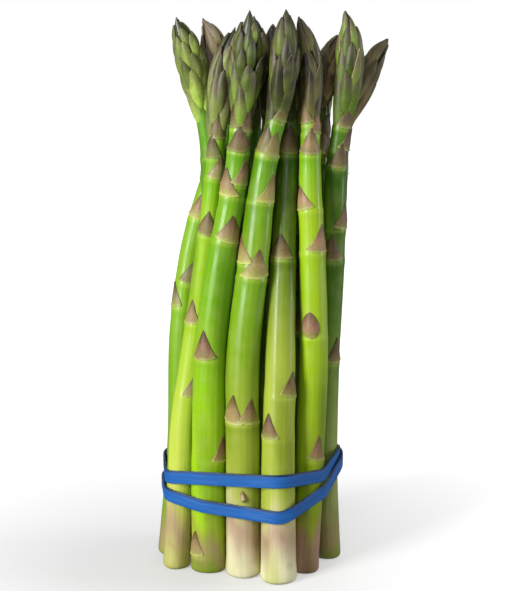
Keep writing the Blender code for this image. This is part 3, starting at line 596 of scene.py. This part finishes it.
def stem_leaves(work, axis, look, nodes, ripple, draw):
    """The scale leaves of a stem: those higher up are longer and wrap further round it."""
    for z0, angle in nodes:
        rise = z0 / axis.spear.neck_z
        girth = float(radius(axis.spear, z0))
        length = (9.6 + 2.4 * rise) * (0.6 + 0.4 * girth / 6.0) * draw.uniform(0.94, 1.1)
        spread = math.radians(96 + 78 * ease(0.42, 0.85, rise)) * draw.uniform(0.88, 1.1)
        plump = z0 in PLUMP.get(axis.spear.name, ())
        scale_leaf(work, axis, look.bract, z0, angle, length, spread, plump, nodes, ripple, draw)
    for z0, turn in BUDS.get(axis.spear.name, ()):
        angle = math.radians(turn - 90)
        spread = math.radians(BUD_SPREAD)
        scale_leaf(work, axis, BUD, z0, angle, BUD_LENGTH, spread, True, nodes, ripple, draw)


def head(work, axis, look, start, draw):
    """A spiral of scales up the head, smaller towards the tip. A leafy head has fewer, longer, wider ones."""
    spear = axis.spear
    leafy = 1 - look.loose
    head_length = tip_z(spear) - spear.neck_z
    count = round(HEAD_SCALES - LEAFY_FEWER * leafy)
    for i in range(count):
        share = i / (count - 1)
        root = spear.neck_z + head_length * (0.86 * share**0.88 - 0.14 + draw.uniform(-0.02, 0.02))
        length = head_length * (0.45 + 0.14 * leafy - (0.24 + 0.06 * leafy) * share)
        length *= draw.uniform(0.88, 1.14)
        width = spear.head * (0.66 + 0.30 * leafy - (0.30 + 0.14 * leafy) * share) * draw.uniform(0.88, 1.12)
        angle = math.radians(start + i * GOLDEN_ANGLE) + draw.uniform(-0.2, 0.2)
        head_scale(work, axis, look, root, angle, length, width, draw, share)


def spear_piece(axis, number, materials):
    """One spear as one mesh: its stem, the scale leaves on it and its head."""
    spear = axis.spear
    look = LOOKS[spear.name]
    draw = np.random.default_rng(FIRST_SEED + number)
    ripple = draw.uniform(0, 2 * math.pi, 6)
    start = SPIRAL_START + SPIRAL_STEP * number
    nodes = bract_places(spear, start)
    work = Patchwork()
    stem(work, axis, look, nodes, ripple)
    stem_leaves(work, axis, look, nodes, ripple, draw)
    head(work, axis, look, start, draw)
    piece = work.build(f"{spear.name}_grown", materials)
    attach(piece, "root")
    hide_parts(spear.name)


def furthest_out(axes, out, z):
    """Which spear stands out furthest in the direction out, over the band's width, and where they touch."""
    best, name = None, None
    for axis in axes:
        for height in (z - BAND_WIDTH / 2, z, z + BAND_WIDTH / 2):
            reach = float(radius(axis.spear, height)) + BAND_GAP + BAND_THICKNESS / 2
            touch = axis.centre(height)[:2] + reach * out
            if best is None or touch @ out > best @ out:
                best, name = touch, axis.spear.name
    return best, name


def band_touches(axes, heights):
    """The band's place at each bearing of its two turns, and the spear that it presses on there."""
    bearings = np.arange(BAND_START, BAND_START + 360.0, BEARING_STEP)
    touches = []
    for degrees, z in zip(np.tile(bearings, 2), heights):
        out = np.array([math.cos(math.radians(degrees)), math.sin(math.radians(degrees))])
        place, name = furthest_out(axes, out, z)
        second = len(touches) >= len(bearings)
        start, full, hold, end = CROSSING
        over = ease(start, full, degrees) * (1 - ease(hold, end, degrees)) * second
        place = place + out * float(over) * (BAND_THICKNESS + BAND_GAP)
        touches.append((name, second, np.array([*place, z])))
    return touches


def band_heights(touches):
    """The band's height at each touch: the tables' heights at the middle of each spear's share of it, and
    between those in step with the length run, as a stretched band lies."""
    places = np.array([place for _, _, place in touches])
    steps = np.linalg.norm(np.diff(places[:, :2], axis=0, append=places[:1, :2]), axis=1)
    run = np.concatenate([[0], np.cumsum(steps)])
    knots = []
    for (name, second), bend in groupby(enumerate(touches), key=lambda item: item[1][:2]):
        table = SECOND_TURN if second else FIRST_TURN
        middle = np.mean([run[i] for i, _ in bend])
        if name in table:
            knots.append((middle, table[name]))
    knots = np.array(knots)
    return np.interp(run[:-1], knots[:, 0], knots[:, 1], period=run[-1])


def band_line(axes):
    """The band's middle line, twice round: bent over spears that stand out, and straight between them."""
    heights = np.full(2 * int(360 / BEARING_STEP), BAND_MIDDLE)
    for _ in range(BAND_ROUNDS):
        touches = band_touches(axes, heights)
        heights = band_heights(touches)
    line = np.array([place for _, _, place in touches])
    line[:, 2] = heights
    return line


def even_line(line, step):
    """The closed line again, with stations a step apart, and lightly smoothed."""
    closed = np.concatenate([line, line[:1]])
    run = np.concatenate([[0], np.cumsum(np.linalg.norm(np.diff(closed, axis=0), axis=1))])
    keep = np.concatenate([[True], np.diff(run) > 1e-6])
    at = np.linspace(0, run[-1], int(run[-1] / step), endpoint=False)
    even = np.stack([np.interp(at, run[keep], closed[keep, i]) for i in range(3)], axis=1)
    for _ in range(2):
        even = 0.25 * np.roll(even, 1, axis=0) + 0.5 * even + 0.25 * np.roll(even, -1, axis=0)
    return even


def band_piece(axes, finish):
    """The rubber band: a flat section with rounded edges carried along its line, its upper edge painted dark as shade.
    """
    line = even_line(band_line(axes), 1.0)
    along = np.roll(line, -1, axis=0) - np.roll(line, 1, axis=0)
    along /= np.linalg.norm(along, axis=1, keepdims=True)
    out = np.cross(along, [0, 0, 1.0])
    out /= np.linalg.norm(out, axis=1, keepdims=True)
    up = np.cross(out, along)
    turn = np.linspace(0, 2 * math.pi, BAND_SECTION, endpoint=False)
    across = BAND_THICKNESS / 2 * np.sign(np.cos(turn)) * np.abs(np.cos(turn)) ** 0.35
    tall = BAND_WIDTH / 2 * np.sign(np.sin(turn)) * np.abs(np.sin(turn)) ** 0.35
    points = line[:, None] + across[None, :, None] * out[:, None] + tall[None, :, None] * up[:, None]
    points = np.concatenate([points, points[:1]])
    run = np.arange(len(points)) * 1.0
    grain = np.stack(np.broadcast_arrays(run[:, None], tall[None, :], across[None, :]), axis=-1)
    # painted shade: the band's upper edge is darkened
    rim = ease(0.60, 0.90, tall / (BAND_WIDTH / 2)) * np.ones((len(points), 1))
    work = Patchwork()
    work.grid(points, mix(BAND_BLUE, BAND_SHADED_EDGE, 0.9 * rim), grain, 0, round_columns=True)
    piece = work.build("rubber_band_wound", [finish])
    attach(piece, "root")
    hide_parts("rubber_band")


def fibre_group():
    """Shader group: streaks that run along the grain, small speckles, and a height for the relief."""
    group = bpy.data.node_groups.new("plant_fibre", "ShaderNodeTree")
    sockets = group.interface
    sockets.new_socket("Grain", in_out="INPUT", socket_type="NodeSocketVector")
    sockets.new_socket("Across", in_out="INPUT", socket_type="NodeSocketFloat")
    sockets.new_socket("Along", in_out="INPUT", socket_type="NodeSocketFloat")
    for name in ("Streak", "Blotch", "Speckle", "Height"):
        sockets.new_socket(name, in_out="OUTPUT", socket_type="NodeSocketFloat")
    nodes, links = group.nodes, group.links
    entry = nodes.new("NodeGroupInput")
    leave = nodes.new("NodeGroupOutput")
    stretch = nodes.new("ShaderNodeCombineXYZ")
    scaled = nodes.new("ShaderNodeVectorMath")
    scaled.operation = "MULTIPLY"
    links.new(entry.outputs["Grain"], scaled.inputs[0])
    links.new(stretch.outputs[0], scaled.inputs[1])

    def noise(vector, scale, detail):
        made = nodes.new("ShaderNodeTexNoise")
        made.inputs["Scale"].default_value = scale
        made.inputs["Detail"].default_value = detail
        links.new(vector, made.inputs["Vector"])
        return made.outputs["Fac"]

    def spread(value, low, high):
        made = nodes.new("ShaderNodeMapRange")
        made.inputs["From Min"].default_value = low
        made.inputs["From Max"].default_value = high
        made.interpolation_type = "SMOOTHSTEP"
        links.new(value, made.inputs["Value"])
        return made.outputs["Result"]

    links.new(entry.outputs["Across"], stretch.inputs[0])
    links.new(entry.outputs["Across"], stretch.inputs[1])
    links.new(entry.outputs["Along"], stretch.inputs[2])
    streak = noise(scaled.outputs[0], 1.0, 3.0)
    links.new(spread(streak, 0.28, 0.72), leave.inputs["Streak"])
    links.new(spread(noise(entry.outputs["Grain"], 0.16, 2.0), 0.35, 0.68), leave.inputs["Blotch"])
    links.new(spread(noise(entry.outputs["Grain"], 1.9, 1.0), 0.66, 0.74), leave.inputs["Speckle"])
    pore = noise(entry.outputs["Grain"], 3.0, 2.0)
    total = nodes.new("ShaderNodeMath")
    total.operation = "MULTIPLY_ADD"
    links.new(pore, total.inputs[0])
    total.inputs[1].default_value = 0.25
    links.new(streak, total.inputs[2])
    links.new(total.outputs[0], leave.inputs["Height"])
    return group


def plant_material(name, fibre, across, along, streaks, roughness, coat, relief):
    """A plant finish: the piece's own tint, streaked along its fibres, with blotches and speckles."""
    made = bpy.data.materials.new(name)
    made.use_nodes = True
    nodes, links = made.node_tree.nodes, made.node_tree.links
    shader = nodes["Principled BSDF"]
    tint = nodes.new("ShaderNodeAttribute")
    tint.attribute_name = "tint"
    grain = nodes.new("ShaderNodeAttribute")
    grain.attribute_name = "grain"
    fibres = nodes.new("ShaderNodeGroup")
    fibres.node_tree = fibre
    links.new(grain.outputs["Vector"], fibres.inputs["Grain"])
    fibres.inputs["Across"].default_value = across
    fibres.inputs["Along"].default_value = along

    def blend(colour, factor, mode, other, most):
        made_mix = nodes.new("ShaderNodeMix")
        made_mix.data_type = "RGBA"
        made_mix.blend_type = mode
        weight = nodes.new("ShaderNodeMath")
        weight.operation = "MULTIPLY"
        links.new(factor, weight.inputs[0])
        weight.inputs[1].default_value = most
        links.new(weight.outputs[0], made_mix.inputs["Factor"])
        links.new(colour, made_mix.inputs["A"])
        made_mix.inputs["B"].default_value = (*other, 1.0)
        return made_mix.outputs["Result"]

    colour = blend(tint.outputs["Color"], fibres.outputs["Streak"], "MULTIPLY", (0.58, 0.66, 0.45), streaks)
    colour = blend(colour, fibres.outputs["Blotch"], "MIX", tuple(light(BLOTCH)), 0.12)
    colour = blend(colour, fibres.outputs["Speckle"], "MULTIPLY", (0.50, 0.46, 0.32), 0.35)
    links.new(colour, shader.inputs["Base Color"])
    rough = nodes.new("ShaderNodeMapRange")
    rough.inputs["To Min"].default_value = roughness
    rough.inputs["To Max"].default_value = roughness + 0.14
    links.new(fibres.outputs["Blotch"], rough.inputs["Value"])
    links.new(rough.outputs["Result"], shader.inputs["Roughness"])
    shader.inputs["Coat Weight"].default_value = coat
    shader.inputs["Coat Roughness"].default_value = 0.2
    bump = nodes.new("ShaderNodeBump")
    bump.inputs["Strength"].default_value = 0.5
    bump.inputs["Distance"].default_value = relief * MM
    links.new(fibres.outputs["Height"], bump.inputs["Height"])
    links.new(bump.outputs["Normal"], shader.inputs["Normal"])
    return made


def rubber_material():
    """Blue rubber: faint lighter scuffs that run along the band."""
    made = bpy.data.materials.new("blue_rubber_stretched")
    made.use_nodes = True
    nodes, links = made.node_tree.nodes, made.node_tree.links
    shader = nodes["Principled BSDF"]
    tint = nodes.new("ShaderNodeAttribute")
    tint.attribute_name = "tint"
    grain = nodes.new("ShaderNodeAttribute")
    grain.attribute_name = "grain"
    place = nodes.new("ShaderNodeMapping")
    place.inputs["Scale"].default_value = (0.07, 0.9, 1.0)
    links.new(grain.outputs["Vector"], place.inputs["Vector"])
    scuff = nodes.new("ShaderNodeTexNoise")
    scuff.inputs["Scale"].default_value = 1.0
    scuff.inputs["Detail"].default_value = 5.0
    links.new(place.outputs["Vector"], scuff.inputs["Vector"])
    ramp = nodes.new("ShaderNodeMapRange")
    ramp.inputs["From Min"].default_value = 0.45
    ramp.inputs["From Max"].default_value = 0.80
    ramp.inputs["To Max"].default_value = 0.4
    links.new(scuff.outputs["Fac"], ramp.inputs["Value"])
    colour = nodes.new("ShaderNodeMix")
    colour.data_type = "RGBA"
    links.new(ramp.outputs["Result"], colour.inputs["Factor"])
    links.new(tint.outputs["Color"], colour.inputs["A"])
    colour.inputs["B"].default_value = (*light(SCUFF), 1.0)
    links.new(colour.outputs["Result"], shader.inputs["Base Color"])
    shader.inputs["Roughness"].default_value = 0.5
    bump = nodes.new("ShaderNodeBump")
    bump.inputs["Strength"].default_value = 0.4
    bump.inputs["Distance"].default_value = 0.05 * MM
    links.new(scuff.outputs["Fac"], bump.inputs["Height"])
    links.new(bump.outputs["Normal"], shader.inputs["Normal"])
    return made


def floor():
    """A plain pale floor that glows more with distance, so that it stays white behind the bundle. It throws
    no light on the bundle."""
    bpy.ops.mesh.primitive_plane_add(size=FLOOR_SIDE, location=(0, 0, 0))
    ground = bpy.context.object
    ground.name = "floor"
    ground.visible_diffuse = False
    ground.visible_glossy = False
    made = bpy.data.materials.new("pale_floor")
    made.use_nodes = True
    nodes, links = made.node_tree.nodes, made.node_tree.links
    shader = nodes["Principled BSDF"]
    shader.inputs["Base Color"].default_value = (FLOOR_GREY, FLOOR_GREY, FLOOR_GREY, 1.0)
    shader.inputs["Roughness"].default_value = 0.8
    shader.inputs["Emission Color"].default_value = (1.0, 1.0, 1.0, 1.0)
    place = nodes.new("ShaderNodeNewGeometry")
    away = nodes.new("ShaderNodeVectorMath")
    away.operation = "DISTANCE"
    away.inputs[1].default_value = GLOW_CENTRE
    links.new(place.outputs["Position"], away.inputs[0])
    glow = nodes.new("ShaderNodeMapRange")
    glow.inputs["From Min"].default_value = GLOW_NEAR[0]
    glow.inputs["From Max"].default_value = GLOW_FAR[0]
    glow.inputs["To Min"].default_value = GLOW_NEAR[1]
    glow.inputs["To Max"].default_value = GLOW_FAR[1]
    links.new(away.outputs["Value"], glow.inputs["Value"])
    links.new(glow.outputs["Result"], shader.inputs["Emission Strength"])
    ground.data.materials.append(made)


def softbox(name, place, size, power):
    """A rectangular lamp that faces the middle of the bundle."""
    lamp = bpy.data.lights.new(name, "AREA")
    lamp.shape = "RECTANGLE"
    lamp.size, lamp.size_y = size
    lamp.energy = power
    made = bpy.data.objects.new(name, lamp)
    made.location = place
    target = np.array([0.0, 0.0, AIM_HEIGHT]) - np.array(place)
    yaw = math.atan2(target[1], target[0]) - math.pi / 2
    tilt = math.atan2(target[2], math.hypot(target[0], target[1])) + math.pi / 2
    made.rotation_euler = (tilt, 0, yaw)
    bpy.context.scene.collection.objects.link(made)


def studio():
    """A pale room, a tall soft key lamp at the left, four weaker lamps, and the camera."""
    scene = bpy.context.scene
    world = bpy.data.worlds.new("pale_room")
    scene.world = world
    world.use_nodes = True
    world.node_tree.nodes["Background"].inputs["Color"].default_value = (1, 1, 1, 1)
    world.node_tree.nodes["Background"].inputs["Strength"].default_value = ROOM_LIGHT
    for lamp in LAMPS:
        softbox(*lamp)
    eye = bpy.data.cameras.new("camera")
    eye.sensor_width = SENSOR
    eye.lens = FOCAL_PIXELS / PICTURE_HEIGHT * SENSOR
    eye.clip_start = 0.05
    camera = bpy.data.objects.new("camera", eye)
    camera.location = ((CAMERA[0] + ORIGIN_SHIFT[0]) * MM, (CAMERA[1] + ORIGIN_SHIFT[1]) * MM, CAMERA[2] * MM)
    camera.rotation_euler = (math.radians(90 - CAMERA_PITCH), 0, 0)
    scene.collection.objects.link(camera)
    scene.camera = camera
    scene.view_settings.view_transform = "Standard"


def dress():
    levels, places = settle()
    axes = [Axis(spear, levels, place) for spear, place in zip(SPEARS, places)]
    fibre = fibre_group()
    skin = plant_material("asparagus_skin", fibre, 0.75, 0.03, 0.32, 0.30, 0.05, 0.06)
    leaf = plant_material("scale_leaf", fibre, 1.3, 0.10, 0.60, 0.45, 0.0, 0.10)
    scale = plant_material("head_scale", fibre, 1.4, 0.12, 0.75, 0.40, 0.0, 0.14)
    for number, axis in enumerate(axes):
        spear_piece(axis, number, [skin, leaf, scale])
    band_piece(axes, rubber_material())


dress()
floor()
studio()
